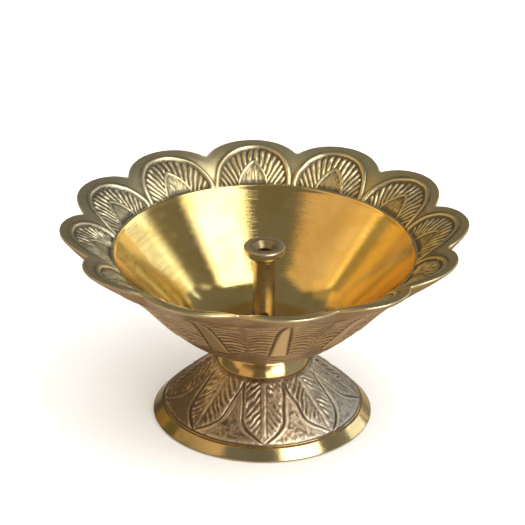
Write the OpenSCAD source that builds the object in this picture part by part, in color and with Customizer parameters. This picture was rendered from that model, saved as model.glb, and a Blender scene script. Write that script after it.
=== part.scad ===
// Diya oil lamp: a twelve-petalled lotus bowl on a hollow cone-shaped foot, with a turned wick post
// whose threaded tail runs down through the stem and is held by a nut inside the foot.
// Origin: middle of the circle that the foot stands on. +Z is up the lamp's axis of symmetry.

/* [Bowl] */
// Diameter across the petal tips
rim_d = 100; // [94:0.5:106]
// Height of the petal tips above the table
rim_z = 51; // [50:0.5:54]
// Number of petals
petal_count = 12; // [8:1:16]
// How far the notches between the petals come in from the tips
notch_depth = 5.1; // [4:0.1:7]
// Turn of the petal ring about the axis, in degrees
petal_turn = 5; // [0:1:29]
// Diameter of the turned inside, where the petals begin
turned_d = 74; // [70:1:76]
// Height of the turned inside's upper edge
turned_z = 44.1; // [43:0.1:45]
// Height of the bowl's floor
floor_z = 23.6; // [23:0.1:24.5]
// Diameter of the flat part of the bowl's floor
floor_d = 22; // [16:1:26]
// Depth of the sunk panel in each petal
panel_depth = 0.4; // [0.2:0.1:0.6]
// Width of the plain border round each panel
panel_border = 4; // [3.6:0.1:5]

/* [Neck] */
// Diameter of the polished neck where it stands on the foot
neck_d = 22.6; // [21:0.2:22.8]
// Height of the joint between the neck and the foot
joint_z = 14.4; // [14:0.1:15]
// Height at which the neck swells into the bowl
neck_top_z = 19.3; // [18.5:0.1:20]
// Lean of the neck's cone from upright, in degrees
neck_lean = 28; // [20:1:46]
// Size of the fillet between the neck and the bowl
neck_fillet = 1.3; // [0.8:0.1:2]

/* [Foot] */
// Diameter of the foot on the table
foot_d = 54.4; // [50:0.2:60]
// Height at which the leaves' slope would reach the foot's edge. The band is steeper than the slope.
foot_edge_h = 0.8; // [0.5:0.1:1.2]
// Diameter of the foot's flat top
foot_top_d = 23; // [22.6:0.2:24]
// Wall thickness of the foot, measured upright
foot_wall = 3.4; // [2.8:0.1:4]
// Width of the polished band round the foot, measured level
band_w = 2.7; // [2:0.1:4]
// Number of leaves on the foot
leaf_count = 8; // [6:1:10]
// Turn of the leaves about the axis, in degrees
leaf_turn = 1; // [1:1:20]
// Height of the leaves over the foot's slope
leaf_raise = 0.35; // [0.2:0.05:0.6]

/* [Wick post] */
// Diameter of the post under its cup
post_d = 5.5; // [5.2:0.1:6.2]
// Diameter of the post where it meets the flange
post_root_d = 5.3; // [5.2:0.1:7.5]
// Height of the cup's lip
cup_z = 45.5; // [42:0.5:48]
// Diameter of the cup
cup_d = 10.4; // [9:0.1:12]
// Height of the cup's side
cup_side = 2.2; // [1.8:0.1:2.8]
// Rounding of the cup's side, top and bottom
cup_round = 0.8; // [0.3:0.1:0.9]
// Height of the flare between the post and the cup
cup_flare = 1.4; // [1:0.1:2.5]
// Diameter of the wick bore
wick_bore_d = 3.8; // [3:0.1:4.2]
// Diameter of the funnel at the top of the bore
funnel_d = 5.6; // [4.6:0.1:8]
// Depth of the funnel
funnel_h = 1.8; // [1:0.1:2.4]
// Diameter of the oil inlets at the post's root
inlet_d = 2; // [1.5:0.1:2.2]
// Diameter of the flange that the post stands on
flange_d = 11; // [10:0.5:14]
// Thickness of the flange
flange_h = 1.4; // [1:0.1:2]

/* [Fastening] */
// Crest diameter of the tail's thread
tail_d = 5; // [5:1:5]
// Rise of the thread in one turn
pitch = 0.8; // [0.8:0.1:0.8]
// Depth of the thread's grooves
groove_depth = 0.3; // [0.2:0.05:0.4]
// Diameter of the stem hole through the bowl and the foot
stem_hole_d = 5.4; // [5.3:0.1:6]
// Radial gap between the nut's plain bore and the crests
nut_gap = 0.05; // [0.02:0.01:0.08]
// Distance across the nut's flats
nut_flats = 8; // [8:0.5:10]
// Thickness of the nut
nut_h = 4; // [3:0.5:4]
// Outer diameter of the washer under the foot's top
washer_d = 10; // [9:0.5:12]
// Thickness of that washer
washer_h = 1; // [0.8:0.1:1]
// Thickness of the oil seal
seal_h = 0.8; // [0.5:0.1:1]

/* [Hidden] */

facets = 96;
curve_steps = 24;
past = 1;

rim_r = rim_d / 2;
petal_step = 360 / petal_count;
notch_r = rim_r - notch_depth;
// A lobe's circle touches the tip circle and passes through the notches on both sides of the petal.
lobe_c = (rim_r * rim_r - notch_r * notch_r) / (2 * (rim_r - notch_r * cos(petal_step / 2)));
lobe_r = rim_r - lobe_c;
turned_r = turned_d / 2;
panel_inset = 0.8;
// The turned inside is a cone under the petals, and an arc joins it to the flat floor.
inside_slope = 46;
// Above it the petals' face goes on along an arc, and flares out until it is nearly level at the tips.
flare_end_slope = 2 * atan((rim_z - turned_z) / (rim_r - turned_r)) - inside_slope;
flare_r = (rim_r - turned_r) / (sin(inside_slope) - sin(flare_end_slope));
floor_r = floor_d / 2;

// The neck narrows upwards. Its corner is where its cone meets the line of the bowl's underside.
neck_r = neck_d / 2;
under_reach = 18.2;
under_rise = 6.4;
under_slope = atan(under_rise / under_reach);
neck_turn = tan(under_slope) * tan(neck_lean);
corner_z = (neck_top_z + neck_turn * joint_z) / (1 + neck_turn);
corner_r = neck_r - (corner_z - joint_z) * tan(neck_lean);

// The bowl's outside is one Bezier curve from the neck to just past the petal tips.
skin_start = [neck_r, neck_top_z];
skin_low = [neck_r + under_reach, neck_top_z + under_rise];
skin_high = [rim_r - 20.7, rim_z - 11.6];
skin_end = [rim_r + past, rim_z - 1];

// Height of the foot's top, of the ceiling in its hollow, and the slope of its outside
hollow_z = joint_z - foot_wall - 0.2;
foot_r = foot_d / 2;
foot_top_r = foot_top_d / 2;
foot_slope = (joint_z - foot_edge_h) / (foot_r - foot_top_r);
band_r = foot_r - band_w;
groove_half_w = 0.3;
foot_chamfer = 0.3;
hollow_r = foot_r - 2.4;
hollow_top_r = hollow_r - hollow_z / foot_slope;
leaf_step = 360 / leaf_count;
leaf_root_r = foot_top_r + 0.6;
leaf_length = band_r - groove_half_w - leaf_root_r;
leaf_half_w = 5.2;
leaf_blunt = 0.5;

// The tail ends far enough above the table for the nut to come off inside the hollow.
washer_z = hollow_z - washer_h;
nut_z = washer_z - nut_h;
tail_z = nut_z - 1.4;
tail_plain_z = hollow_z + 1.2;
flange_z = floor_z + seal_h;
shaft_z = flange_z + flange_h;
flare_z = cup_z - cup_side - cup_flare;
inlet_z = shaft_z + inlet_d / 2 + 0.6;
bore_floor_z = inlet_z - inlet_d / 2;

function mix3(a, b, c, d, t) =
    pow(1 - t, 3) * a + 3 * pow(1 - t, 2) * t * b + 3 * (1 - t) * t * t * c + t * t * t * d;

function skin() =
    [for (i = [0:curve_steps]) mix3(skin_start, skin_low, skin_high, skin_end, i / curve_steps)];

// The neck's cone, the rounded corner, and the bowl's underside up to where the skin starts
function neck_side() =
    let (
        corner = [corner_r, corner_z],
        low = corner + neck_fillet * [sin(neck_lean), -cos(neck_lean)],
        high = corner + neck_fillet * [cos(under_slope), sin(under_slope)]
    )
    concat(
        [[neck_r, joint_z]],
        [for (i = [0:8])
            let (t = i / 8)
            pow(1 - t, 2) * low + 2 * (1 - t) * t * corner + t * t * high],
        [skin_start]);

// Arc that leaves the floor level at radius floor_r and ends at the cone's slope on the cone's line
bend_r = (turned_z - floor_z - (turned_r - floor_r) * tan(inside_slope))
    / (1 - cos(inside_slope) - sin(inside_slope) * tan(inside_slope));

function inside() =
    [for (i = [0:curve_steps / 2])
        let (a = inside_slope * i / (curve_steps / 2))
        [floor_r + bend_r * sin(a), floor_z + bend_r * (1 - cos(a))]];

// Height of the foot's slope at radius r
function foot_z(r) = foot_edge_h + (foot_r - r) * foot_slope;

// Height of the petals' face at radius r
function petal_z(r) =
    let (a = asin(sin(inside_slope) - (r - turned_r) / flare_r))
    turned_z + flare_r * (cos(a) - cos(inside_slope));

// Points along the petals' face from radius r1 to radius r2, moved up by lift
function petal_face(r1, r2, lift = 0) =
    [for (i = [0:curve_steps / 2])
        let (r = r1 + (r2 - r1) * i / (curve_steps / 2))
        [r, petal_z(r) + lift]];

// One disc to each petal, drawn in from the lobes by a border
module petal_discs(border) {
    for (i = [0:petal_count - 1])
        rotate(petal_turn + i * petal_step)
            translate([lobe_c, 0])
                circle(r = lobe_r - border, $fn = facets);
}

// Outline of the rim: the petals' lobes and the disc that fills the middle
module lotus_outline() {
    circle(r = lobe_c, $fn = facets);
    petal_discs(0);
}

module bowl_body() {
    intersection() {
        rotate_extrude($fn = facets)
            polygon(concat(
                [[stem_hole_d / 2, joint_z]],
                neck_side(),
                [for (i = [1:curve_steps]) skin()[i]],
                petal_face(rim_r + past, turned_r),
                [for (i = [curve_steps / 2:-1:0]) inside()[i]],
                [[stem_hole_d / 2, floor_z]]));
        linear_extrude(height = rim_z + 2 * past)
            lotus_outline();
    }
}

// Ring just under the petals' face, which the panels are cut from
module panel_layer() {
    rotate_extrude($fn = facets)
        polygon(concat(
            petal_face(turned_r + panel_inset, rim_r, -panel_depth),
            petal_face(rim_r, turned_r + panel_inset, past)));
}

module petal_panels() {
    intersection() {
        panel_layer();
        linear_extrude(height = rim_z + 2 * past)
            petal_discs(panel_border);
    }
}

module bowl() {
    color("goldenrod")
        difference() {
            bowl_body();
            petal_panels();
        }
}

// Leaf seen from above: two arcs that would meet at the band, with the point cut blunt
module leaf_outline() {
    arc_r = (pow(leaf_length, 2) + pow(leaf_half_w, 2)) / (2 * leaf_half_w);
    intersection() {
        translate([leaf_root_r, leaf_half_w - arc_r])
            circle(r = arc_r, $fn = facets);
        translate([leaf_root_r, arc_r - leaf_half_w])
            circle(r = arc_r, $fn = facets);
        translate([leaf_root_r, -leaf_half_w])
            square([leaf_length - leaf_blunt, 2 * leaf_half_w]);
    }
}

// Layer over the foot's slope, as thick as the leaves are high
module leaf_layer() {
    rotate_extrude($fn = facets)
        polygon([
            [foot_top_r, foot_z(foot_top_r) - past],
            [foot_top_r, foot_z(foot_top_r) + leaf_raise],
            [band_r, foot_z(band_r) + leaf_raise],
            [band_r, foot_z(band_r) - past]]);
}

module foot() {
    color("darkgoldenrod")
        union() {
            rotate_extrude($fn = facets)
                polygon([
                    [stem_hole_d / 2, hollow_z],
                    [hollow_top_r, hollow_z],
                    [hollow_r, 0],
                    [foot_r - foot_chamfer, 0],
                    [foot_r, foot_chamfer],
                    [band_r + groove_half_w, foot_z(band_r + groove_half_w)],
                    [band_r, foot_z(band_r) - groove_half_w],
                    [band_r - groove_half_w, foot_z(band_r - groove_half_w)],
                    [foot_top_r, joint_z],
                    [stem_hole_d / 2, joint_z]]);
            intersection() {
                leaf_layer();
                linear_extrude(height = joint_z - leaf_raise)
                    for (i = [0:leaf_count - 1])
                        rotate(90 + leaf_turn + i * leaf_step)
                            leaf_outline();
            }
        }
}

// Thread drawn as plain rings: one groove to each turn
function thread_rings(low, high) =
    let (turns = floor((high - low) / pitch))
    [for (i = [0:turns - 1], p = [0:3])
        let (z = low + i * pitch)
        p == 0 ? [tail_d / 2, z + 0.25 * pitch]
        : p == 1 ? [tail_d / 2 - groove_depth, z + 0.5 * pitch]
        : p == 2 ? [tail_d / 2 - groove_depth, z + 0.7 * pitch]
        : [tail_d / 2, z + 0.95 * pitch]];

function cup_turn(z, angles) =
    [for (a = angles) [cup_d / 2 + cup_round * (cos(a) - 1), z + cup_round * sin(a)]];

module wick_post() {
    color("peru")
        difference() {
            rotate_extrude($fn = facets)
                polygon(concat(
                    [[0, tail_z], [tail_d / 2 - 0.6, tail_z]],
                    thread_rings(tail_z + 0.4, tail_plain_z),
                    [
                        [tail_d / 2, tail_plain_z],
                        [tail_d / 2, flange_z],
                        [flange_d / 2, flange_z],
                        [flange_d / 2, flange_z + flange_h - 0.4],
                        [flange_d / 2 - 0.4, shaft_z],
                        [post_root_d / 2 + 0.5, shaft_z],
                        [post_root_d / 2, shaft_z + 0.5],
                        [post_d / 2, flare_z]],
                    cup_turn(cup_z - cup_side + cup_round, [-60:20:0]),
                    cup_turn(cup_z - cup_round, [0:15:90]),
                    [
                        [funnel_d / 2 + 0.2, cup_z],
                        [funnel_d / 2, cup_z - 0.2],
                        [wick_bore_d / 2, cup_z - funnel_h],
                        [wick_bore_d / 2, bore_floor_z],
                        [0, bore_floor_z]]));
            for (turn = [0, 90])
                rotate(turn + petal_turn)
                    translate([0, 0, inlet_z])
                        rotate([90, 0, 0])
                            cylinder(d = inlet_d, h = 2 * post_root_d, center = true, $fn = 32);
        }
}

module ring(outer_d, inner_d, low, thickness) {
    translate([0, 0, low])
        difference() {
            cylinder(d = outer_d, h = thickness, $fn = facets);
            translate([0, 0, -past])
                cylinder(d = inner_d, h = thickness + 2 * past, $fn = facets);
        }
}

module oil_seal() {
    color("firebrick")
        ring(flange_d - 0.4, tail_d + 2 * nut_gap, floor_z, seal_h);
}

module clamp_washer() {
    color("lightgray")
        ring(washer_d, stem_hole_d, washer_z, washer_h);
}

module clamp_nut() {
    color("khaki")
        translate([0, 0, nut_z])
            difference() {
                intersection() {
                    cylinder(d = nut_flats / cos(30), h = nut_h, $fn = 6);
                    rotate_extrude($fn = facets)
                        polygon([
                            [0, 0],
                            [nut_flats / 2, 0],
                            [nut_flats / 2 + 0.8, 0.5],
                            [nut_flats / 2 + 0.8, nut_h - 0.5],
                            [nut_flats / 2, nut_h],
                            [0, nut_h]]);
                }
                translate([0, 0, -past])
                    cylinder(d = tail_d + 2 * nut_gap, h = nut_h + 2 * past, $fn = facets);
            }
}

foot();
bowl();
wick_post();
oil_seal();
clamp_washer();
clamp_nut();
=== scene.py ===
"""Looks of the diya oil lamp: cast relief, turned and aged brass, hardware, studio.

The CAD frame gives every place and size. The bowl and the foot are remade as dense closed meshes
that carry the cast relief; the wick post, the seal, the washer and the nut are remade with their
machined detail. Lengths below are in millimetres until a mesh is made.
"""

import math

import bmesh
import bpy
import numpy as np
from mathutils import Matrix, Vector


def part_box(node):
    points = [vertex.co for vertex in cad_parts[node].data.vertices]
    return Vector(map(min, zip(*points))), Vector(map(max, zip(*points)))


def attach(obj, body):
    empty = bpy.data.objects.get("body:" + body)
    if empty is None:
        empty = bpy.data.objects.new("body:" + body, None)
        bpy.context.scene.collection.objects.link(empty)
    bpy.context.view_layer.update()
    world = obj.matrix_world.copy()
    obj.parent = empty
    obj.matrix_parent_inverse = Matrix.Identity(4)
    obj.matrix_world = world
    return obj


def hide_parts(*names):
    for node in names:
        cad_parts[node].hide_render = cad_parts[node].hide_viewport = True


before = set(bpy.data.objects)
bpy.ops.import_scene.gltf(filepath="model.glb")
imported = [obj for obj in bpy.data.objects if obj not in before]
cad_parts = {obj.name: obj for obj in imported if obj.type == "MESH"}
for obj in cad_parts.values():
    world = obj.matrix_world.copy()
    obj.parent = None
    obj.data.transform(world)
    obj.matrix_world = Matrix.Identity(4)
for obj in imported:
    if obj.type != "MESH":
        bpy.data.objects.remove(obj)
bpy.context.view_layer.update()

MM = 0.001


# ---------------------------------------------------------------- sizes, from the frame

def node_points(node):
    """Every vertex of a CAD node, in millimetres."""
    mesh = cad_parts[node].data
    co = np.zeros(len(mesh.vertices) * 3, np.float32)
    mesh.vertices.foreach_get("co", co)
    return co.reshape(-1, 3).astype(float) / MM


def low_high(node):
    low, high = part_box(node)
    return np.array(low) / MM, np.array(high) / MM


def reach(node):
    """Largest distance of a node's points from the lamp's axis."""
    p = node_points(node)
    return float(np.hypot(p[:, 0], p[:, 1]).max())


def bore(node):
    """Smallest distance of a node's points from the lamp's axis."""
    p = node_points(node)
    return float(np.hypot(p[:, 0], p[:, 1]).min())


bowl_high = low_high("bowl")[1]
foot_low, foot_high = low_high("foot")
post_low, post_high = low_high("wick_post")
seal_low, seal_high = low_high("oil_seal")
washer_low, washer_high = low_high("clamp_washer")
nut_low, nut_high = low_high("clamp_nut")

RIM_R = reach("bowl")
RIM_Z = bowl_high[2]
JOINT_Z = foot_high[2]
FLOOR_Z = seal_low[2]
FOOT_R = reach("foot")

# The castings' driving sizes
PETALS = 12
PETAL_TURN = math.radians(5.0)
NOTCH_R = RIM_R - 5.1
TURNED_R = 37.0
TURNED_Z = RIM_Z - 6.9
INSIDE_SLOPE = math.radians(46)
FLOOR_R = 11.0
STEM_HOLE_R = 2.7
NECK_R = 11.3
NECK_TOP_Z = 19.3
NECK_LEAN = math.radians(28)
NECK_FILLET = 1.3
UNDER_REACH = 18.2
UNDER_RISE = 6.4
LEAVES = 8
LEAF_TURN = math.radians(1.0)
FOOT_TOP_R = 11.5
FOOT_EDGE_H = 0.8
BAND_R = FOOT_R - 2.7
HOLLOW_TOP_Z = washer_high[2]

PETAL_STEP = 2 * math.pi / PETALS
FRONT_PETALS = math.radians(-87)
FRONT_SHIFT = math.radians(2.8)
LEAF_STEP = 2 * math.pi / LEAVES
FOOT_SLOPE = (JOINT_Z - FOOT_EDGE_H) / (FOOT_R - FOOT_TOP_R)


# ---------------------------------------------------------------- small maths

def smooth(lo, hi, x):
    """0 below lo, 1 above hi, and a smooth step between them. lo may be above hi."""
    t = np.clip((x - lo) / (hi - lo), 0, 1)
    return t * t * (3 - 2 * t)


def bump_at(x, centre, half_width):
    """A round ridge, 1 at the centre and 0 beyond the half width."""
    t = np.clip(1 - ((x - centre) / half_width) ** 2, 0, 1)
    return t * t * (3 - 2 * t)


def wrapped(angle, step, turn):
    """Angle from the nearest of the repeated centre lines, and the number of that line."""
    k = np.round((angle - turn) / step)
    return angle - turn - k * step, np.mod(k, round(2 * math.pi / step)).astype(int)


def bezier(p0, p1, p2, p3, t):
    t = np.asarray(t)[:, None]
    return (1 - t) ** 3 * p0 + 3 * (1 - t) ** 2 * t * p1 + 3 * (1 - t) * t * t * p2 + t ** 3 * p3


def ring_noise(theta, cells, y, seed):
    """Smooth random field from -1 to 1, with so many cells round the axis and unit cells along y."""
    table = np.random.default_rng(seed).uniform(-1, 1, (256, 256))
    x = theta / (2 * math.pi) * cells
    xi, yi = np.floor(x).astype(int), np.floor(y).astype(int)
    fx, fy = x - xi, y - yi
    fx, fy = fx * fx * (3 - 2 * fx), fy * fy * (3 - 2 * fy)

    def at(a, b):
        return table[np.mod(np.mod(a, cells), 256), np.mod(b, 256)]

    low = at(xi, yi) * (1 - fx) + at(xi + 1, yi) * fx
    high = at(xi, yi + 1) * (1 - fx) + at(xi + 1, yi + 1) * fx
    return low * (1 - fy) + high * fy


# ---------------------------------------------------------------- lines of the bowl

LOBE_C = (RIM_R ** 2 - NOTCH_R ** 2) / (2 * (RIM_R - NOTCH_R * math.cos(PETAL_STEP / 2)))
LOBE_R = RIM_R - LOBE_C
FLARE_END = 2 * math.atan((RIM_Z - TURNED_Z) / (RIM_R - TURNED_R)) - INSIDE_SLOPE
FLARE_R = (RIM_R - TURNED_R) / (math.sin(INSIDE_SLOPE) - math.sin(FLARE_END))
BEND_R = (TURNED_Z - FLOOR_Z - (TURNED_R - FLOOR_R) * math.tan(INSIDE_SLOPE)) / (
    1 - math.cos(INSIDE_SLOPE) - math.sin(INSIDE_SLOPE) * math.tan(INSIDE_SLOPE)
)
SKIN = bezier(
    np.array([NECK_R, NECK_TOP_Z]),
    np.array([NECK_R + UNDER_REACH, NECK_TOP_Z + UNDER_RISE]),
    np.array([RIM_R - 20.7, RIM_Z - 11.6]),
    np.array([RIM_R + 1, RIM_Z - 1.0]),
    np.linspace(0, 1, 400),
)


def petal_z(r):
    """Height of the petals' face at radius r."""
    sine = np.clip(math.sin(INSIDE_SLOPE) - (r - TURNED_R) / FLARE_R, -1, 1)
    return TURNED_Z + FLARE_R * (np.sqrt(1 - sine ** 2) - math.cos(INSIDE_SLOPE))


def skin_z(r):
    """Height of the bowl's outside at radius r."""
    return np.interp(r, SKIN[:, 0], SKIN[:, 1])


def petal_angle(theta):
    """Angle that the petals are laid out on: the casting's front petals sit a little to one side."""
    away = np.mod(theta - FRONT_PETALS + math.pi, 2 * math.pi) - math.pi
    return theta - FRONT_SHIFT * bump_at(away, 0, math.radians(52))


def outline(theta):
    """Radius of the lobed rim, with softened notches and slightly uneven petals."""
    lobes = []
    theta = petal_angle(theta)
    for side in (0, 1):
        phi, _ = wrapped(theta + side * PETAL_STEP, PETAL_STEP, PETAL_TURN)
        phi = phi - side * PETAL_STEP * np.sign(phi + 1e-12)
        chord = np.sqrt(np.maximum(LOBE_R ** 2 - (LOBE_C * np.sin(phi)) ** 2, 0))
        lobes.append(LOBE_C * np.cos(phi) + chord)
    a, b = lobes
    soften = 1.3
    blend = np.clip(1 - np.abs(a - b) / soften, 0, 1)
    uneven = 0.18 * ring_noise(theta, 18, np.zeros(1), 5)
    return np.maximum(a, b) + soften * 0.25 * blend ** 2 + uneven


# ---------------------------------------------------------------- relief of the castings

ARCH_HALF_W = 9.15
ARCH_H = 10.2
ARCH_LEANS = np.array([0.03, -0.02, 0.01, -0.03, 0.02, 0.0, -0.01, 0.03, -0.03, 0.01, 0.0, -0.02])
TONGUE_HALF_W = 3.5
TONGUE_H = 5.6
RIB_FAN_R = 5.0
RIB_STEP = math.radians(7.2)


def petal_relief(theta, r):
    """Height of the relief on the petals' face: a bead round an arch, ribs in it, a smooth tongue."""
    theta = petal_angle(theta)
    phi, k = wrapped(theta, PETAL_STEP, PETAL_TURN)
    lean = ARCH_LEANS[k]
    x = r * np.cos(phi) - TURNED_R
    y = r * np.sin(phi) - lean * x * 3
    wobble = 0.012 * ring_noise(theta, 126, r * 0.6, 8)
    q = (np.abs(y / ARCH_HALF_W) ** 2.0 + (x / ARCH_H) ** 2.0) ** 0.5 + wobble
    tongue = np.abs(y / TONGUE_HALF_W) ** 1.35 + (np.maximum(x, 0) / TONGUE_H) ** 1.5 + wobble * 2
    sunk = -0.50 * smooth(0.985, 0.90, q)
    bead = 0.24 * bump_at(q, 0.975, 0.085)
    fan = np.arctan2(y, x + RIB_FAN_R)
    uneven = 0.12 * ring_noise(theta, 101, r * 0.5, 17)
    phase = fan / RIB_STEP + 0.5 + 0.30 * (q - 0.7) * np.sign(y) + uneven
    wave = 0.5 + 0.5 * np.cos(2 * math.pi * phase)
    band = smooth(0.93, 0.87, q) * smooth(1.05, 1.25, tongue)
    worn = 0.85 + 0.35 * ring_noise(theta, 188, r * 0.8, 9)
    ribs = 0.37 * band * wave ** 0.9 * worn
    edge = 0.26 * bump_at(tongue, 1.0, 0.17)
    rough = 0.06 * ring_noise(theta, 942, r * 1.3, 18)
    pad = (0.08 + rough) * smooth(1.0, 0.7, tongue)
    return (sunk + bead + ribs + edge + pad) * smooth(TURNED_R + 0.1, TURNED_R + 0.5, r)


SPEAR_LOW_R = 26.0
SPEAR_HIGH_R = 45.4
SPEAR_H = 0.30
SPEAR_RUB = 0.397
VEIN_STEP = 2.0
VEIN_ARCH = 0.24


def skin_relief(theta, r, s):
    """Height of the relief on the bowl's outside, and how rubbed it is. s is the way along its curve."""
    phi, _ = wrapped(petal_angle(theta), PETAL_STEP, PETAL_TURN)
    across = np.abs(r * phi)
    half = np.interp(r, [SPEAR_LOW_R, SPEAR_HIGH_R - 7, SPEAR_HIGH_R], [2.0, 1.15, 0.05])
    along = smooth(SPEAR_LOW_R - 0.4, SPEAR_LOW_R + 0.4, r)
    along = along * smooth(SPEAR_HIGH_R + 0.3, SPEAR_HIGH_R - 0.8, r)
    spear = SPEAR_H * smooth(half + 0.25, half - 0.35, across) * along
    ditch = -0.06 * bump_at(across, half + 0.35, 0.35) * along
    # Between a spear and the line below a notch stands a stack of arched ribs.
    wide = r * PETAL_STEP / 2 - half
    place = np.clip((across - half) / np.maximum(wide, 0.1), 0, 1)
    arch = VEIN_ARCH * wide * (1 - (2 * place - 0.9) ** 2)
    drift = 0.26 * ring_noise(theta, 88, s * 0.35, 20)
    vein = 0.5 + 0.5 * np.cos(2 * math.pi * (s - arch) / VEIN_STEP + 2 * drift)
    worn = 0.74 + 0.5 * ring_noise(theta, 75, s * 0.4, 21)
    field = smooth(0.05, 0.14, place) * smooth(0.97, 0.88, place)
    reach_in = smooth(25.0, 28.0, r) * smooth(46.0, 44.4, r)
    veins = 0.28 * vein ** 1.5 * field * reach_in * worn
    stem = 0.09 * smooth(0.90, 0.96, place) * reach_in
    # Twelve shallow scallops close the pattern over the neck.
    arc_r = 20.3 + 1.5 * np.cos(phi / PETAL_STEP * 2 * math.pi)
    arc = 0.13 * bump_at(r, arc_r, 0.7) + 0.08 * bump_at(r, arc_r + 2.2, 0.6)
    grain = 0.025 * ring_noise(theta, 377, s * 1.7, 23) * smooth(20.0, 24.0, r)
    height = spear + ditch + veins + stem + arc + grain * (1 - spear * 2.5)
    return height, SPEAR_RUB * spear / SPEAR_H


LEAF_HALF_W = 5.0
LEAF_SHOULDER_R = 18.6
LEAF_TIP_R = 24.2
LEAF_VEIN_STEP = 1.42


def foot_relief(theta, r):
    """Height of the relief on the foot's slope: veined leaves, framed rough fields between them."""
    phi, _ = wrapped(theta, LEAF_STEP, math.pi / 2 + LEAF_TURN)
    x = r * np.cos(phi)
    side = r * np.sin(phi)
    y = np.abs(side)
    wobble = 0.22 * ring_noise(theta, 57, r * 0.35, 31)
    taper = np.clip((LEAF_TIP_R - x) / (LEAF_TIP_R - LEAF_SHOULDER_R), 0, 1)
    tip = LEAF_HALF_W * np.sin(taper * math.pi / 2) ** 0.9
    half = np.where(x < LEAF_SHOULDER_R, LEAF_HALF_W - 0.05 * (LEAF_SHOULDER_R - x), tip)
    inward = half - y + wobble
    leaf = smooth(-0.05, 0.35, inward)
    ragged = 0.8 + 0.5 * ring_noise(theta, 82, r * 0.7, 34)
    ditch = -0.20 * ragged * bump_at(inward, -0.1, 0.45) * smooth(-0.75, -0.35, inward)
    midrib = 0.20 * bump_at(y, 0, 0.75) * smooth(LEAF_TIP_R - 0.5, LEAF_TIP_R - 2.0, x)
    bend = 0.9 * y - 0.03 * y * y
    drift = 0.36 * ring_noise(theta, 63, r * 0.5, 32)
    vein = 0.5 + 0.5 * np.cos(2 * math.pi * ((x - bend) / LEAF_VEIN_STEP + drift + 0.25 * np.sign(side)))
    worn = 0.58 + 0.7 * ring_noise(theta, 69, r * 0.6, 33)
    veins = 0.22 * vein ** 1.2 * smooth(0.6, 1.1, y) * smooth(0.3, 0.8, inward) * np.clip(worn, 0, 1.2)
    pits = 0.05 * ring_noise(theta, 214, r * 1.5, 35)
    body = (0.08 + midrib + veins + pits) * leaf
    # The fields between the leaves: a smooth frame along the leaves, rough ground inside it.
    out = -inward
    frame_in = smooth(0.15, 0.5, out)
    ground = smooth(1.15, 1.5, out)
    rough = 0.07 * ring_noise(theta, 138, r * 1.2, 41) + 0.05 * ring_noise(theta, 276, r * 2.4, 42)
    fields = frame_in * (0.16 - 0.10 * ground + rough * (0.25 + 0.75 * ground))
    fade = smooth(FOOT_TOP_R + 0.2, FOOT_TOP_R + 1.0, r) * smooth(BAND_R - 0.1, BAND_R - 0.5, r)
    groove = -0.24 * bump_at(r, BAND_R + 0.05, 0.4)
    return (ditch + body + fields) * fade + groove


# ---------------------------------------------------------------- closed meshes of rings

def ring_mesh(name, points, shades, zones, materials, capped=False, clockwise=False):
    """Closed mesh from rings of points: points is (rings, segments, 3) in millimetres. The last ring
    joins the first, or with capped, a point closes each end. shades holds named values for each
    point, and zones a material for each ring. clockwise says that an uncapped section runs that way
    round, seen with the axis on its left, so its faces are turned to face out."""
    rings, segs = points.shape[:2]
    mesh = bpy.data.meshes.new(name)
    count = rings * segs
    ends = [points[0].mean(0), points[-1].mean(0)] if capped else []
    flat = np.concatenate([points.reshape(-1, 3), np.array(ends).reshape(-1, 3)])
    i, j = np.meshgrid(np.arange(rings - capped), np.arange(segs), indexing="ij")
    a = i * segs + j
    b = i * segs + (j + 1) % segs
    c = ((i + 1) % rings) * segs + (j + 1) % segs
    d = ((i + 1) % rings) * segs + j
    quads = np.stack([d, c, b, a] if clockwise else [a, b, c, d], -1).reshape(-1, 4)
    corners = [quads.ravel()]
    sizes = [np.full(len(quads), 4)]
    faces = [np.repeat(np.asarray(zones)[: rings - capped], segs)]
    if capped:
        j = np.arange(segs)
        low = np.stack([(j + 1) % segs, j, np.full(segs, count)], -1)
        last = (rings - 1) * segs
        high = np.stack([last + j, last + (j + 1) % segs, np.full(segs, count + 1)], -1)
        corners += [low.ravel(), high.ravel()]
        sizes.append(np.full(2 * segs, 3))
        faces.append(np.repeat([zones[0], zones[-1]], segs))
    corners, sizes, faces = np.concatenate(corners), np.concatenate(sizes), np.concatenate(faces)
    mesh.vertices.add(len(flat))
    mesh.vertices.foreach_set("co", (flat * MM).astype(np.float32).ravel())
    mesh.loops.add(len(corners))
    mesh.loops.foreach_set("vertex_index", corners.astype(np.int32))
    mesh.polygons.add(len(sizes))
    starts = np.concatenate([[0], np.cumsum(sizes)[:-1]])
    mesh.polygons.foreach_set("loop_start", starts.astype(np.int32))
    mesh.polygons.foreach_set("material_index", faces.astype(np.int32))
    mesh.polygons.foreach_set("use_smooth", np.ones(len(sizes), bool))
    for material in materials:
        mesh.materials.append(material)
    for key, value in shades.items():
        value = np.asarray(value, np.float32).ravel()
        if capped:
            value = np.concatenate([value, value[:1], value[-1:]])
        mesh.attributes.new(key, "FLOAT", "POINT").data.foreach_set("value", value)
    mesh.update(calc_edges=True)
    mesh.validate()
    obj = bpy.data.objects.new(name, mesh)
    bpy.context.scene.collection.objects.link(obj)
    return obj


def blurred(field, across, along):
    """Mean of a ring grid over a window: across counts segments each way, along counts rings."""
    total = sum(np.roll(field, shift, axis=1) for shift in range(-across, across + 1))
    out = total / (2 * across + 1)
    padded = np.concatenate([np.repeat(out[:1], along, 0), out, np.repeat(out[-1:], along, 0)])
    run = np.cumsum(np.concatenate([np.zeros_like(padded[:1]), padded]), 0)
    return (run[2 * along + 1:] - run[: -2 * along - 1]) / (2 * along + 1)


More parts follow.
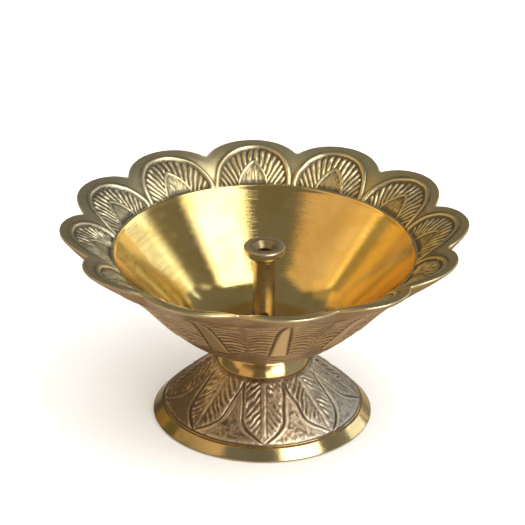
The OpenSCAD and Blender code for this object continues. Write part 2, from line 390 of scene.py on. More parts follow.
def wear_of(height, across=6, along=5):
    """How far a point stands over (1) or under (0) what surrounds it; 0.5 is level."""
    return np.clip(0.5 + (height - blurred(height, across, along)) / 0.34, 0, 1)


def rounded_path(corners, closed):
    """(r, z) points through corners given as (r, z, radius), each corner rounded by its radius."""
    out = []
    n = len(corners)
    for i, (r, z, radius) in enumerate(corners):
        p = np.array([r, z])
        end = not closed and i in (0, n - 1)
        if end or radius <= 0:
            out.append(p)
            continue
        before = np.array(corners[i - 1][:2]) - p
        after = np.array(corners[(i + 1) % n][:2]) - p
        reach_before, reach_after = np.linalg.norm(before), np.linalg.norm(after)
        u, v = before / reach_before, after / reach_after
        turn = math.pi - math.acos(np.clip(u @ v, -1, 1))
        cut = min(radius * math.tan(turn / 2), 0.48 * reach_before, 0.48 * reach_after)
        for t in np.linspace(0, 1, 7):
            out.append((1 - t) ** 2 * (p + u * cut) + 2 * (1 - t) * t * p + t * t * (p + v * cut))
    return np.array(out)


def densified(path, step, closed):
    """Adds points to a path so that no stretch is longer than step."""
    out = []
    after = np.roll(path, -1, 0)
    for i, (p, q) in enumerate(zip(path, after)):
        if i == len(path) - 1 and not closed:
            out.append(p)
            break
        pieces = max(1, math.ceil(np.linalg.norm(q - p) / step))
        out.extend(p + (q - p) * t / pieces for t in range(pieces))
    return np.array(out)


def turned_points(path, segs):
    """Rings of points from (r, z) pairs, with the angle and radius of each."""
    theta = np.linspace(0, 2 * math.pi, segs, endpoint=False)[None, :]
    r, z = path[:, :1] + 0 * theta, path[:, 1:] + 0 * theta
    return theta + 0 * r, r, z


def placed(theta, r, z):
    return np.stack([r * np.cos(theta), r * np.sin(theta), z], -1)


# ---------------------------------------------------------------- the bowl

TURNED, CAST, SKINNED, NECKED = range(4)


def make_bowl(materials):
    segs = PETALS * 120
    theta = np.linspace(0, 2 * math.pi, segs, endpoint=False)[None, :]
    rim = outline(theta)
    points, height, rubbed, zones = [], [], [], []

    def add(r, z, h, zone, rub=0.0):
        points.append(placed(theta, r, z + 0 * theta)[0])
        height.append((h + 0 * theta)[0])
        rubbed.append((rub + 0 * theta)[0])
        zones.append(zone)

    # The stem hole's lower edge, the neck's underside, its leaning side and its fillet
    for r in (STEM_HOLE_R, STEM_HOLE_R + 0.4, 6.0, NECK_R - 0.5):
        add(r, JOINT_Z, 0.0, NECKED)
    add(NECK_R - 0.12, JOINT_Z + 0.03, 0.0, NECKED)
    under_slope = math.atan(UNDER_RISE / UNDER_REACH)
    turn = math.tan(under_slope) * math.tan(NECK_LEAN)
    corner_z = (NECK_TOP_Z + turn * JOINT_Z) / (1 + turn)
    corner = np.array([NECK_R - (corner_z - JOINT_Z) * math.tan(NECK_LEAN), corner_z])
    low = corner + NECK_FILLET * np.array([math.sin(NECK_LEAN), -math.cos(NECK_LEAN)])
    high = corner + NECK_FILLET * np.array([math.cos(under_slope), math.sin(under_slope)])
    for t in np.linspace(0.06, 0.97, 14):
        r, z = np.array([NECK_R, JOINT_Z]) * (1 - t) + low * t
        add(r + 0.10 * math.sin(math.pi * t), z, 0.0, NECKED)
    for t in np.linspace(0, 1, 9):
        r, z = (1 - t) ** 2 * low + 2 * (1 - t) * t * corner + t * t * high
        add(r, z, 0.0, NECKED)
    for t in (0.3, 0.6, 0.9):
        r, z = high * (1 - t) + np.array([NECK_R, NECK_TOP_Z]) * t
        add(r, z, 0.0, NECKED)

    # The outside, out to where it thins towards the rim
    thin = 3.2
    warp_from = 33.0
    run = np.concatenate([[0], np.cumsum(np.hypot(*np.diff(SKIN, axis=0).T))])
    steepness = np.gradient(SKIN[:, 1], SKIN[:, 0])
    for s in np.arange(0.5, np.interp(RIM_R - thin, SKIN[:, 0], run), 0.33):
        flat_r = np.interp(s, run, SKIN[:, 0])
        share = np.clip((flat_r - warp_from) / (RIM_R - thin - warp_from), 0, 1)
        r = np.where(share > 0, warp_from + share * (rim - thin - warp_from), flat_r)
        tilt = np.arctan(np.interp(r, SKIN[:, 0], steepness))
        h, rub = skin_relief(theta, r, np.interp(r, SKIN[:, 0], run))
        add(r + h * np.sin(tilt), skin_z(r) - h * np.cos(tilt), h, SKINNED, rub)

    # Under the rim, and its thin rounded edge
    top = petal_z(rim)
    start = (rim - thin, skin_z(rim - thin))
    bend = (rim - 1.3, skin_z(rim - 1.3) + 0.35)
    end = (rim - 0.05, top - 0.66)
    for t in np.linspace(0.1, 0.96, 9):
        r, z = ((1 - t) ** 2 * p + 2 * (1 - t) * t * q + t * t * w for p, q, w in zip(start, bend, end))
        add(r, z, 0.0, SKINNED)
    edge = ((0.02, 0.56), (0.0, 0.44), (0.0, 0.32), (0.05, 0.21), (0.14, 0.12), (0.27, 0.06))
    for inset, drop in edge:
        add(rim - inset, top - drop, 0.0, CAST, 0.42)

    # The petals' face, in to the turned circle
    face_in = 0.45
    for share in np.linspace(1, 0, 62):
        r = TURNED_R + share * (rim - face_in - TURNED_R)
        h = petal_relief(theta, r)
        sine = math.sin(INSIDE_SLOPE) - (r - TURNED_R) / FLARE_R
        rounding = 0.056 * smooth(2.6, 0.0, rim - face_in - r)
        rub = 0.12 * smooth(0.9, 0.2, rim - r) + 0.28 * smooth(3.4, 1.8, rim - r)
        add(r - h * sine, petal_z(r) + h * np.sqrt(1 - sine ** 2) - rounding, h, CAST, rub)

    # A crisp lip, then the turned cone, the bend and the floor
    add(TURNED_R - 0.02, TURNED_Z + 0.10, 0.1, TURNED)
    add(TURNED_R - 0.18, TURNED_Z + 0.02, 0.1, TURNED)
    cone_r = np.linspace(TURNED_R - 0.45, FLOOR_R + BEND_R * math.sin(INSIDE_SLOPE), 34)
    for r in cone_r:
        add(r, TURNED_Z - (TURNED_R - r) * math.tan(INSIDE_SLOPE), 0.0, TURNED)
    for a in np.linspace(INSIDE_SLOPE, 0, 24)[1:]:
        add(FLOOR_R + BEND_R * math.sin(a), FLOOR_Z + BEND_R * (1 - math.cos(a)), 0.0, TURNED)
    for r in (9.0, 7.0, 5.0, STEM_HOLE_R + 0.3):
        add(r, FLOOR_Z, 0.0, TURNED)
    add(STEM_HOLE_R, FLOOR_Z - 0.2, 0.0, TURNED)
    for z in np.linspace(FLOOR_Z - 1.5, JOINT_Z + 1.0, 4):
        add(STEM_HOLE_R, z, 0.0, NECKED)

    tone = wear_of(np.array(height)) + np.array(rubbed)
    obj = ring_mesh("lotus_bowl", np.array(points), {"tone": tone}, zones, materials)
    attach(obj, "bowl")
    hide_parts("bowl")
    return obj


# ---------------------------------------------------------------- the foot

LEAFED, BANDED, HOLLOWED = range(3)


def make_foot(materials):
    segs = LEAVES * 120
    theta = np.linspace(0, 2 * math.pi, segs, endpoint=False)[None, :]
    points, height, zones = [], [], []

    def add(r, z, h, zone):
        points.append(placed(theta, r, z + 0 * theta)[0])
        height.append((h + 0 * theta)[0])
        zones.append(zone)

    tilt = math.atan(FOOT_SLOPE)
    for r in (STEM_HOLE_R, STEM_HOLE_R + 0.3, 7.0, FOOT_TOP_R - 0.5):
        add(r, JOINT_Z, 0.0, LEAFED)
    for r in np.arange(FOOT_TOP_R, BAND_R + 0.34, 0.155):
        h = foot_relief(theta, r)
        z = FOOT_EDGE_H + (FOOT_R - r) * FOOT_SLOPE
        zone = LEAFED if r < BAND_R - 0.1 else BANDED
        add(r + h * math.sin(tilt), z + h * math.cos(tilt), h, zone)
    band_top = FOOT_EDGE_H + (FOOT_R - BAND_R - 0.36) * FOOT_SLOPE
    band = rounded_path([
        (BAND_R + 0.36, band_top - 0.06, 0), (FOOT_R, 0.28, 0.25), (FOOT_R - 0.3, foot_low[2], 0.15),
        (FOOT_R - 2.2, foot_low[2], 0),
    ], closed=False)
    for r, z in densified(band, 0.35, closed=False):
        add(r, max(z, foot_low[2]), 0.0, BANDED)
    hollow_r = FOOT_R - 2.4
    top_r = hollow_r - HOLLOW_TOP_Z / FOOT_SLOPE
    for t in np.linspace(0.03, 0.97, 30):
        r = hollow_r + (top_r - hollow_r) * t
        rough = 0.12 * ring_noise(theta, 75, r * 0.5, 55)
        add(r + rough, HOLLOW_TOP_Z * t - rough * 0.6, rough * 0.4, HOLLOWED)
    for r in (top_r - 0.8, 9.0, 7.0, 5.4, STEM_HOLE_R + 0.3, STEM_HOLE_R):
        add(r, HOLLOW_TOP_Z, 0.0, HOLLOWED)
    for z in np.linspace(HOLLOW_TOP_Z + 0.8, JOINT_Z - 0.4, 3):
        add(STEM_HOLE_R, z, 0.0, HOLLOWED)

    tone = wear_of(np.array(height), 5, 5)
    obj = ring_mesh("leaf_foot", np.array(points), {"tone": tone}, zones, materials, clockwise=True)
    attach(obj, "foot")
    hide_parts("foot")
    return obj


# ---------------------------------------------------------------- post, seal, washer and nut

PITCH = 0.8
CUP_SIDE_Z = post_high[2] - 2.2
FLARE_Z = CUP_SIDE_Z - 1.4
STEM_TOP_R = 2.75
STEM_ROOT_R = 2.65
CUP_R = 5.2
WICK_R = 1.9
FUNNEL_R = 2.8
FUNNEL_H = 1.8
BORE_FLOOR_Z = 26.4
INLET_Z = 27.4
INLET_R = 1.0
FLANGE_R = 5.5
FLANGE_H = 1.4
TAIL_R = 2.5
THREAD_H = 0.28
NUT_THREAD_H = 0.2


def thread(theta, z):
    """From 0 in a groove to 1 on a crest, on a right-hand thread."""
    turn = np.mod(z / PITCH - theta / (2 * math.pi), 1)
    return 1 - np.abs(2 * turn - 1) ** 1.6


def make_post(materials):
    stem, tail = 0, 1
    z_top = post_high[2]
    path = rounded_path([
        (0.3, post_low[2], 0), (TAIL_R - 0.5, post_low[2], 0), (TAIL_R, post_low[2] + 0.5, 0.1),
        (TAIL_R, seal_high[2] - 0.6, 0.1), (TAIL_R, seal_high[2], 0.1), (FLANGE_R, seal_high[2], 0.2),
        (FLANGE_R, seal_high[2] + FLANGE_H, 0.45), (STEM_ROOT_R, seal_high[2] + FLANGE_H, 0.9),
        (STEM_TOP_R, FLARE_Z, 1.2), (CUP_R - 0.35, CUP_SIDE_Z + 0.1, 0.5),
        (CUP_R, CUP_SIDE_Z + 0.8, 0.8), (CUP_R, z_top, 0.95), (FUNNEL_R, z_top, 0.45),
        (WICK_R, z_top - FUNNEL_H, 0.5), (WICK_R, BORE_FLOOR_Z, 0.2), (0.3, BORE_FLOOR_Z, 0),
    ], closed=False)
    path = densified(path, 0.11, closed=False)
    theta, r, z = turned_points(path, 96)
    on_tail = (np.abs(r - TAIL_R) < 0.05) & (z < JOINT_Z - 0.5) & (z > post_low[2] + 0.3)
    ends = smooth(post_low[2] + 0.3, post_low[2] + 0.9, z) * smooth(JOINT_Z - 0.6, JOINT_Z - 1.4, z)
    r = r - on_tail * ends * THREAD_H * (1 - thread(theta, z))
    wide = (z > FLARE_Z) & (r > FUNNEL_R - 0.3)
    r = r + wide * 0.05 * ring_noise(theta, 10, z * 0.4, 61)
    zones = np.where(path[:, 1] < seal_high[2] - 0.3, tail, stem)
    # Painted highlight on the cup's top and outer funnel; painted shade down the wick bore.
    high = smooth(3.2, 4.9, r) * (z > FLARE_Z) - 0.9 * ((r < WICK_R + 0.1) & (z > FLARE_Z - 2))
    shade = np.clip(0.5 + 0.35 * high, 0, 1)
    post = ring_mesh("post_turned", placed(theta, r, z), {"tone": shade}, zones, materials, capped=True)
    # The four oil inlets at the foot of the stem
    for turn in (0, 1):
        drill = bmesh.new()
        round_axis = Matrix.Rotation(PETAL_TURN + turn * math.pi / 2, 4, "Z")
        place = Matrix.Translation((0, 0, INLET_Z * MM)) @ round_axis
        bmesh.ops.create_cone(
            drill, cap_ends=True, segments=40, radius1=INLET_R * MM, radius2=INLET_R * MM,
            depth=12 * MM, matrix=place @ Matrix.Rotation(math.pi / 2, 4, "Y"),
        )
        tool_mesh = bpy.data.meshes.new("drill")
        drill.to_mesh(tool_mesh)
        drill.free()
        tool = bpy.data.objects.new("drill", tool_mesh)
        bpy.context.scene.collection.objects.link(tool)
        cut = post.modifiers.new("inlets", "BOOLEAN")
        cut.operation = "DIFFERENCE"
        cut.solver = "EXACT"
        cut.object = tool
        graph = bpy.context.evaluated_depsgraph_get()
        result = bpy.data.meshes.new_from_object(post.evaluated_get(graph))
        post.modifiers.clear()
        post.data = result
        bpy.data.objects.remove(tool)
    post.name = "wick_holder"
    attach(post, "wick_post")
    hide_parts("wick_post")
    return post


def make_seal(material):
    low, high = seal_low[2], seal_high[2]
    inner, outer = bore("oil_seal"), reach("oil_seal")
    path = rounded_path([
        (inner, low, 0.12), (outer, low, 0.22), (outer, high, 0.22), (inner, high, 0.12),
    ], closed=True)
    theta, r, z = turned_points(densified(path, 0.2, closed=True), 96)
    middle = (low + high) / 2
    bulge = smooth(outer - 0.6, outer, r) * 0.06 * ring_noise(theta, 38, z, 71)
    r = r - np.abs(bulge)
    z = z + (z - middle) * 0.04 * ring_noise(theta, 19, r, 72)
    z = np.clip(z, low, high)
    seal = ring_mesh("seal_ring", placed(theta, r, z), {}, np.zeros(len(r), int), [material])
    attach(seal, "oil_seal")
    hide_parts("oil_seal")
    return seal


def make_washer(material):
    low, high = washer_low[2], washer_high[2]
    inner, outer = bore("clamp_washer"), reach("clamp_washer")
    path = rounded_path([
        (inner, low, 0.08), (outer, low, 0.15), (outer, high, 0.32), (inner, high, 0.2),
    ], closed=True)
    theta, r, z = turned_points(densified(path, 0.2, closed=True), 96)
    washer = ring_mesh("washer_ring", placed(theta, r, z), {}, np.zeros(len(r), int), [material])
    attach(washer, "clamp_washer")
    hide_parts("clamp_washer")
    return washer


def make_nut(material):
    low, high = nut_low[2], nut_high[2]
    inner, outer = bore("clamp_nut"), reach("clamp_nut")
    flat = outer * math.cos(math.pi / 6)
    chamfer = 0.35
    mouth = inner + chamfer
    path = rounded_path([
        (mouth, low, 0.08), (outer, low, 0), (outer, high, 0), (mouth, high, 0.08),
        (inner, high - chamfer, 0), (inner, low + chamfer, 0),
    ], closed=True)
    theta, r, z = turned_points(densified(path, 0.12, closed=True), 144)
    corner = node_points("clamp_nut")
    far = corner[np.argmax(np.hypot(corner[:, 0], corner[:, 1]))]
    turn = math.atan2(far[1], far[0])
    phi = np.mod(theta - turn, math.pi / 3) - math.pi / 6
    hexagon = flat / np.cos(phi)
    # The chamfer turned on both faces cuts the corners as a cone does
    depth = np.minimum(z - low, high - z)
    cone = flat - 0.1 + depth * 1.75
    side = np.minimum(np.minimum(hexagon, cone), outer)
    outside = r > inner + 0.5
    share = np.clip((r - mouth) / (outer - mouth), 0, 1)
    r = np.where(outside, mouth + share * (side - mouth), r)
    in_bore = r < inner + 0.02
    r = r + in_bore * NUT_THREAD_H * (1 - thread(theta, z))
    nut = ring_mesh("nut_hex", placed(theta, r, z), {}, np.zeros(len(r), int), [material])
    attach(nut, "clamp_nut")
    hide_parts("clamp_nut")
    return nut


# ---------------------------------------------------------------- materials

def new_material(name):
    material = bpy.data.materials.new(name)
    material.use_nodes = True
    nodes = material.node_tree.nodes
    nodes.clear()
    out = nodes.new("ShaderNodeOutputMaterial")
    shader = nodes.new("ShaderNodeBsdfPrincipled")
    material.node_tree.links.new(shader.outputs["BSDF"], out.inputs["Surface"])
    return material, shader


class Web:
    """Short calls for building a material's nodes."""

    def __init__(self, material):
        self.nodes = material.node_tree.nodes
        self.links = material.node_tree.links

    def node(self, kind, **settings):
        n = self.nodes.new(kind)
        for key, value in settings.items():
            setattr(n, key, value)
        return n

    def join(self, out, into):
        self.links.new(out, into)

    def place(self, scale=(1, 1, 1)):
        """Object coordinates in millimetres, stretched by scale."""
        coordinates = self.node("ShaderNodeTexCoord")
        mapping = self.node("ShaderNodeMapping")
        mapping.inputs["Scale"].default_value = [s / MM for s in scale]
        self.join(coordinates.outputs["Object"], mapping.inputs["Vector"])
        return mapping.outputs["Vector"]

    def noise(self, vector, scale, detail=4.0, roughness=0.55, distortion=0.0):
        n = self.node("ShaderNodeTexNoise")
        n.inputs["Scale"].default_value = scale
        n.inputs["Detail"].default_value = detail
        n.inputs["Roughness"].default_value = roughness
        n.inputs["Distortion"].default_value = distortion
        self.join(vector, n.inputs["Vector"])
        return n.outputs["Fac"]

    def ramp(self, value, stops):
        n = self.node("ShaderNodeValToRGB")
        elements = n.color_ramp.elements
        while len(elements) < len(stops):
            elements.new(0.5)
        for element, (at, colour) in zip(elements, stops):
            element.position = at
            element.color = (*colour, 1)
        self.join(value, n.inputs["Fac"])
        return n.outputs["Color"]

    def remap(self, value, lo, hi, out_lo, out_hi):
        n = self.node("ShaderNodeMapRange")
        for key, number in (("From Min", lo), ("From Max", hi), ("To Min", out_lo), ("To Max", out_hi)):
            n.inputs[key].default_value = number
        self.join(value, n.inputs["Value"])
        return n.outputs["Result"]

    def maths(self, operation, a, b):
        n = self.node("ShaderNodeMath", operation=operation)
        for socket, value in zip(n.inputs, (a, b)):
            if isinstance(value, (int, float)):
                socket.default_value = value
            else:
                self.join(value, socket)
        return n.outputs["Value"]

    def mix(self, factor, a, b):
        n = self.node("ShaderNodeMix", data_type="RGBA")
        for socket, value in ((n.inputs["Factor"], factor), (n.inputs["A"], a), (n.inputs["B"], b)):
            if isinstance(value, (int, float)):
                socket.default_value = value
            elif isinstance(value, tuple):
                socket.default_value = (*value, 1)
            else:
                self.join(value, socket)
        return n.outputs["Result"]

    def attribute(self, name):
        n = self.node("ShaderNodeAttribute", attribute_name=name)
        return n.outputs["Fac"]

    def bump(self, height, strength, distance):
        n = self.node("ShaderNodeBump")
        n.inputs["Strength"].default_value = strength
        n.inputs["Distance"].default_value = distance
        self.join(height, n.inputs["Height"])
        return n.outputs["Normal"]


def turned_marks(web, ring_scale, wave_scale):
    """Fine rings round the axis, as a turning tool leaves them: noise over radius and height."""
    place = web.place()
    apart = web.node("ShaderNodeSeparateXYZ")
    web.join(place, apart.inputs["Vector"])
    x, y, z = apart.outputs
    squares = web.maths("ADD", web.maths("MULTIPLY", x, x), web.maths("MULTIPLY", y, y))
    radius = web.maths("SQRT", squares, 0)
    joined = web.node("ShaderNodeCombineXYZ")
    web.join(web.maths("MULTIPLY", radius, ring_scale), joined.inputs["X"])
    web.join(web.maths("MULTIPLY", z, ring_scale), joined.inputs["Y"])
    web.join(web.maths("MULTIPLY", web.noise(place, wave_scale, 2.0), 1.2), joined.inputs["Z"])
    return web.noise(joined.outputs["Vector"], 1.0, 3.0, 0.65)


def painted_side_share(web, place, blotches, begins, ends):
    """0 at one X and 1 at another, in millimetres, with an uneven edge; it places painted shade and
    painted reflection on one side of a part.
    """
    wander = 14.0
    apart = web.node("ShaderNodeSeparateXYZ")
    web.join(place, apart.inputs["Vector"])
    uneven = web.maths("MULTIPLY", web.maths("SUBTRACT", blotches, 0.5), wander)
    across = web.maths("ADD", apart.outputs["X"], uneven)
    return web.remap(across, begins, ends, 0.0, 1.0)


def scratches(web, stretch, scale, width):
    """Thin wandering lines, 1 on a line, longest along the axis that stretch keeps small."""
    field = web.noise(web.place(stretch), scale, 2.0, 0.5, 0.3)
    line = web.remap(web.maths("ABSOLUTE", web.maths("SUBTRACT", field, 0.5), 0), 0.0, width, 1.0, 0.0)
    gate = web.remap(web.noise(web.place(), 0.11, 2.0), 0.52, 0.60, 0.0, 1.0)
    return web.maths("MULTIPLY", line, gate)


def polished_brass(name, colour, dull, roughness, ring_strength, painted_shade_colour=None):
    """Turned, polished brass: fine rings, faint smears of tarnish, an anisotropic gloss, and a painted
    shade darkening it towards -X when a shade colour is given.
    """
    material, shader = new_material(name)
    web = Web(material)
    shader.inputs["Metallic"].default_value = 1.0
    shader.inputs["Anisotropic"].default_value = 0.45
    place = web.place()
    smears = web.noise(place, 0.09, 5.0, 0.6, 0.6)
    tint = web.ramp(smears, [(0.40, colour), (0.66, dull)])
    # Painted shade: darker towards -X, from X = -11 to -20 mm, the side away from the softbox.
    if painted_shade_colour:
        tint = web.mix(painted_side_share(web, place, smears, -11.0, -20.0), tint, painted_shade_colour)
    web.join(tint, shader.inputs["Base Color"])
    rings = turned_marks(web, 5.0, 0.15)
    gloss = web.remap(smears, 0.35, 0.75, roughness * 0.75, roughness * 1.6)
    one_way = scratches(web, (0.5, 2.2, 0.5), 0.9, 0.010)
    marks = web.maths("MAXIMUM", one_way, scratches(web, (2.4, 0.4, 0.6), 0.8, 0.010))
    web.join(web.maths("ADD", gloss, web.maths("MULTIPLY", marks, 0.16)), shader.inputs["Roughness"])
    tangent = web.node("ShaderNodeTangent", direction_type="RADIAL", axis="Z")
    web.join(tangent.outputs["Tangent"], shader.inputs["Tangent"])
    web.join(web.bump(rings, ring_strength, 0.00004), shader.inputs["Normal"])
    return material


def aged_brass(name, bright, middle, dark, rough_high, rough_low, grain, mottled=0.35, metal=1.0,
               speckle=0.22, painted_side_shades=(), painted_side_reflection=None):
    """Cast brass with patina: worn bright on what stands out, dark in what lies low. Metal under 1
    stands for a layer of oxide. Painted side shade, darker towards one side, and a painted grey-blue
    reflection towards one side are each given as the X where it begins, the X where it is full, and its
    strength."""
    material, shader = new_material(name)
    web = Web(material)
    shader.inputs["Metallic"].default_value = metal
    place = web.place()
    # This attribute holds how worn and patinated the castings are; on the wick post it holds a painted
    # highlight and painted shade.
    tone = web.attribute("tone")
    blotches = web.noise(place, 0.16, 6.0, 0.6, 0.4)
    fine = web.noise(place, 2.6, 5.0, 0.6)
    shifted = tone
    for field, strength in ((blotches, mottled), (fine, speckle)):
        uneven = web.maths("MULTIPLY", web.maths("SUBTRACT", field, 0.5), strength)
        shifted = web.maths("ADD", shifted, uneven)
    # Painted shade: darker towards the sides that are given, by X.
    for begins, ends, strength in painted_side_shades:
        side_shade = web.maths("MULTIPLY", painted_side_share(web, place, blotches, begins, ends), strength)
        shifted = web.maths("SUBTRACT", shifted, side_shade)
    tint = web.ramp(shifted, [(0.18, dark), (0.48, middle), (0.86, bright)])
    # Painted reflection: a grey-blue tint towards one side, standing in for a bluish window mirrored
    # there.
    if painted_side_reflection:
        begins, ends, strength = painted_side_reflection
        grey = web.mix(shifted, (0.12, 0.13, 0.14), (0.52, 0.53, 0.52))
        share = web.maths("MULTIPLY", painted_side_share(web, place, blotches, begins, ends), strength)
        tint = web.mix(share, tint, grey)
    web.join(tint, shader.inputs["Base Color"])
    web.join(web.remap(shifted, 0.2, 0.85, rough_low, rough_high), shader.inputs["Roughness"])
    web.join(web.bump(fine, grain, 0.00012), shader.inputs["Normal"])
    return material


def fibre_seal(name):
    """Vulcanised red fibre: a matt pressed sheet with short flecks."""
    material, shader = new_material(name)
    web = Web(material)
    place = web.place()
    flecks = web.noise(web.place((1, 4, 1)), 1.6, 5.0, 0.7, 0.8)
    tint = web.ramp(flecks, [
        (0.32, (0.16, 0.035, 0.022)), (0.55, (0.27, 0.06, 0.035)), (0.74, (0.40, 0.13, 0.08)),
    ])
    web.join(tint, shader.inputs["Base Color"])
    web.join(web.remap(flecks, 0.3, 0.7, 0.62, 0.82), shader.inputs["Roughness"])
    web.join(web.bump(web.noise(place, 3.0, 4.0), 0.5, 0.00008), shader.inputs["Normal"])
    return material


def plated_steel(name):
    """Zinc-plated steel: cool and bright, with a fine crystal mottle and faint stamping marks."""
    material, shader = new_material(name)
    web = Web(material)
    shader.inputs["Metallic"].default_value = 1.0
    place = web.place()
    crystals = web.node("ShaderNodeTexVoronoi")
    crystals.inputs["Scale"].default_value = 1.8
    web.join(place, crystals.inputs["Vector"])
    mottle = web.mix(0.35, web.noise(place, 0.7, 4.0), crystals.outputs["Distance"])
    tint = web.ramp(mottle, [
        (0.2, (0.46, 0.47, 0.48)), (0.5, (0.60, 0.61, 0.62)), (0.8, (0.72, 0.72, 0.70)),
    ])
    web.join(tint, shader.inputs["Base Color"])
    web.join(web.remap(mottle, 0.2, 0.8, 0.24, 0.42), shader.inputs["Roughness"])
    web.join(web.bump(turned_marks(web, 4.0, 0.2), 0.3, 0.00004), shader.inputs["Normal"])
    return material


# ---------------------------------------------------------------- studio

def studio_camera():
    """The photograph's view: a long lens, 27 degrees above the table, turned a touch."""
    distance, elevation, roll = 0.850, math.radians(26.885), math.radians(0.851)
    target = Vector((-0.00046, 0.0, 0.0408))
    data = bpy.data.cameras.new("camera")
    data.sensor_width = 36.0
    data.lens = 238.3
    data.clip_end = 20.0
    camera = bpy.data.objects.new("camera", data)
    camera.location = target + distance * Vector((0, -math.cos(elevation), math.sin(elevation)))
    turn = Matrix.Rotation(math.pi / 2 - elevation, 4, "X") @ Matrix.Rotation(roll, 4, "Z")
    camera.rotation_euler = turn.to_euler()
    bpy.context.scene.collection.objects.link(camera)
    bpy.context.scene.camera = camera


def panel(name, azimuth, elevation, width, height, brightness, colour, lean=0.0, distance=2.0):
    """A soft panel seen from the lamp at a compass direction (from +X towards +Y) and a height, both
    in degrees, as wide and high as the given angles. It faces the lamp."""
    data = bpy.data.lights.new(name, "AREA")
    data.shape = "RECTANGLE"
    data.size = 2 * distance * math.tan(math.radians(width / 2))
    data.size_y = 2 * distance * math.tan(math.radians(height / 2))
    data.energy = brightness * math.pi * data.size * data.size_y
    data.color = colour
    light = bpy.data.objects.new(name, data)
    a, e = math.radians(azimuth), math.radians(elevation)
    direction = Vector((math.cos(e) * math.cos(a), math.cos(e) * math.sin(a), math.sin(e)))
    light.location = Vector((0, 0, 0.04)) + distance * direction
    turn = direction.to_track_quat("Z", "Y").to_matrix() @ Matrix.Rotation(math.radians(lean), 3, "Z")
    light.rotation_euler = turn.to_euler()
    bpy.context.scene.collection.objects.link(light)
    return light


def studio():
    panel("softbox", -37, 50, 33, 64, 3.4, (1.0, 0.985, 0.95), lean=-22)
    panel("low_softbox", -58, 21, 42, 18, 2.2, (1.0, 0.98, 0.94))
    panel("side_window", 31, 19.5, 26, 14, 1.25, (0.92, 0.98, 1.0), lean=-36)
    panel("blue_strip", 35, 33, 4, 18, 1.2, (0.78, 0.91, 1.0), lean=-49)
    panel("upper_window", 22, 45, 5, 8, 1.1, (1.0, 0.95, 0.85))
    panel("golden_window", 50, 16, 10, 22, 0.8, (1.0, 0.78, 0.42))
    panel("tan_card", -174, 44, 42, 50, 0.56, (1.0, 0.66, 0.33))
    panel("low_tan_card", -133, 19, 34, 18, 0.5, (1.0, 0.66, 0.36))
    panel("amber_card", 137, 22, 22, 34, 0.46, (1.0, 0.50, 0.05))
    panel("gold_strip", 162, 34, 4, 10, 0.62, (1.0, 0.72, 0.20), distance=1.9)
    panel("amber_gap", 156, 34, 34, 40, 0.22, (1.0, 0.68, 0.10), distance=2.4)
    overhead = panel("overhead_fill", -90, 88, 100, 100, 1.7, (1.0, 1.0, 1.0), distance=1.3)
    overhead.visible_glossy = False
    world = bpy.data.worlds.new("studio")
    bpy.context.scene.world = world
    world.use_nodes = True
    background = world.node_tree.nodes["Background"]
    web = Web(world)
    direction = web.node("ShaderNodeTexCoord").outputs["Generated"]
    apart = web.node("ShaderNodeSeparateXYZ")
    web.join(direction, apart.inputs["Vector"])
    x, _, z = apart.outputs
    low = web.mix(web.remap(x, 0.1, 0.9, 0.0, 1.0), (0.17, 0.145, 0.105), (0.33, 0.34, 0.36))
    sky = web.mix(web.remap(z, 0.40, 0.66, 0.0, 1.0), low, (0.182, 0.178, 0.170))
    wood = web.mix(web.remap(z, -0.02, -0.08, 0.0, 1.0), sky, (0.47, 0.39, 0.30))
    web.join(wood, background.inputs["Color"])
    background.inputs["Strength"].default_value = 1.0


def floor():
    """A plain pale table under the lamp, with pale walls far behind it."""
    mesh = bpy.data.meshes.new("floor")
    half, high = 3.0, 2.6
    corners = [(-half, -half), (half, -half), (half, half), (-half, half)]
    points = [(x, y, z) for z in (0, high) for x, y in corners]
    sides = [(k, k + 4, (k + 1) % 4 + 4, (k + 1) % 4) for k in range(4)]
    mesh.from_pydata(points, [], [(0, 1, 2, 3)] + sides)
    obj = bpy.data.objects.new("floor", mesh)
    obj.location.z = -0.0002
    bpy.context.scene.collection.objects.link(obj)
    material, shader = new_material("floor")
    web = Web(material)
    clouds = web.noise(web.place(), 0.004, 3.0)
    tint = web.ramp(clouds, [(0.3, (0.86, 0.86, 0.85)), (0.7, (0.90, 0.90, 0.89))])
    web.join(tint, shader.inputs["Base Color"])
    shader.inputs["Roughness"].default_value = 0.8
    obj.data.materials.append(material)
    # The brass mirrors a darker table than the pale one the lamp is seen on.
    obj.visible_glossy = False


# ---------------------------------------------------------------- everything together

studio_camera()
studio()
floor()

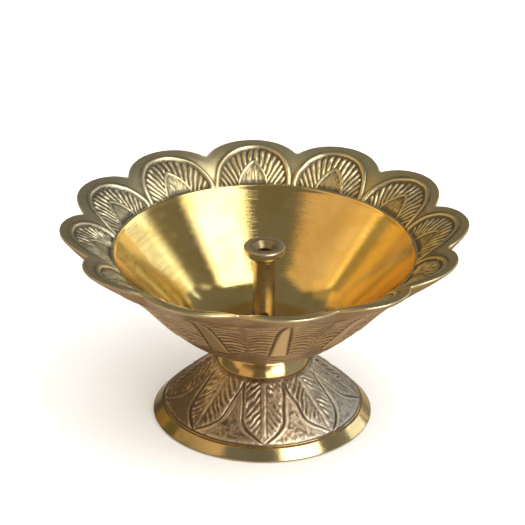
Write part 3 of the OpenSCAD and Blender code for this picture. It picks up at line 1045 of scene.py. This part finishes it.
turned = polished_brass("turned_brass", (0.88, 0.66, 0.26), (0.78, 0.54, 0.17), 0.06, 0.55)
# The petals: painted shade darkens them towards both sides, and a painted grey-blue reflection tints the
# left ones.
cast = aged_brass(
    "petal_brass", (0.86, 0.75, 0.46), (0.66, 0.56, 0.30), (0.20, 0.17, 0.115),
    rough_high=0.30, rough_low=0.42, grain=0.5, mottled=0.5, speckle=0.4,
    painted_side_shades=[(-18.0, -38.0, 0.08), (22.0, 40.0, 0.16)], painted_side_reflection=(-18.0, -38.0, 0.30),
)
skin = aged_brass(
    "outside_brass", (0.84, 0.62, 0.34), (0.52, 0.35, 0.19), (0.21, 0.135, 0.08),
    rough_high=0.28, rough_low=0.42, grain=0.6, mottled=0.55, metal=0.95, speckle=0.5,
)
neck = polished_brass("neck_brass", (0.84, 0.63, 0.28), (0.68, 0.48, 0.20), 0.10, 0.25)
# The foot: painted shade darkens its left side, and a painted grey-blue reflection tints its right side.
leafed = aged_brass(
    "foot_brass", (0.84, 0.72, 0.50), (0.50, 0.39, 0.27), (0.18, 0.14, 0.10),
    rough_high=0.30, rough_low=0.44, grain=0.8, mottled=0.7, metal=0.95, speckle=0.7,
    painted_side_shades=[(-10.0, -20.0, 0.42)], painted_side_reflection=(8.0, 22.0, 0.6),
)
# The band: painted shade darkens its left side.
banded = polished_brass(
    "band_brass", (0.80, 0.63, 0.32), (0.64, 0.49, 0.24), 0.10, 0.25, painted_shade_colour=(0.30, 0.25, 0.13),
)
hollowed = aged_brass(
    "hollow_brass", (0.60, 0.48, 0.28), (0.36, 0.28, 0.15), (0.16, 0.12, 0.07),
    rough_high=0.45, rough_low=0.6, grain=0.9,
)
post_stem = aged_brass(
    "post_brass", (0.52, 0.43, 0.27), (0.33, 0.24, 0.13), (0.13, 0.09, 0.05),
    rough_high=0.30, rough_low=0.42, grain=0.4, mottled=0.9, metal=0.9, speckle=0.5,
)
post_tail = polished_brass("tail_brass", (0.80, 0.62, 0.28), (0.62, 0.46, 0.20), 0.22, 0.3)
fibre = fibre_seal("fibre_seal")
plated = plated_steel("plated_steel")
nut_brass = polished_brass("nut_brass", (0.82, 0.64, 0.30), (0.62, 0.46, 0.20), 0.20, 0.3)

make_bowl([turned, cast, skin, neck])
make_foot([leafed, banded, hollowed])
make_post([post_stem, post_tail])
make_seal(fibre)
make_washer(plated)
make_nut(nut_brass)

bpy.context.scene.view_settings.view_transform = "Standard"
